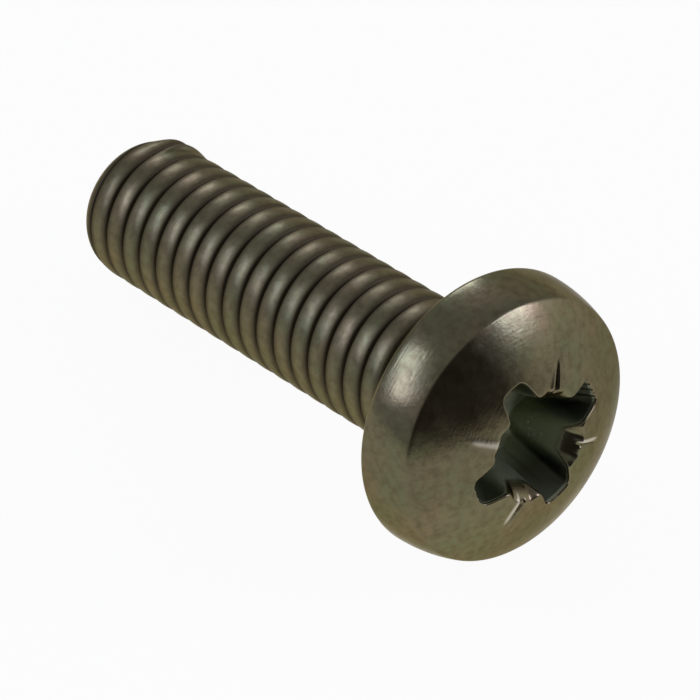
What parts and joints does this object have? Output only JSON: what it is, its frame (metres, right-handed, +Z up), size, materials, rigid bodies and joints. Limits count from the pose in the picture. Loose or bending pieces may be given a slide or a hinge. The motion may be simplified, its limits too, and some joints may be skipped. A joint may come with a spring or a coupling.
{
  "type": "machine screw",
  "caption": "Pan head machine screw with a type Z cross recess and a rolled metric thread up to a short neck, lying on its side as it rests.",
  "frame": {"origin": "middle of the bounding box, on the surface that the screw lies on", "axes": "+X from the tip towards the head along the screw's length, +Z up from the surface; the screw's own axis lies in the XZ plane and climbs 8.27 degrees from tip to head, because the rim of the head and the crests near the tip both touch the surface"},
  "size_m": [0.012, 0.0056, 0.0055],
  "materials": {
    "steel": "dull satin metal with an olive-grey cast and fine tumbling marks"
  },
  "bodies": {
    "root": {"machine_screw": "steel"}
  },
  "joints": []
}
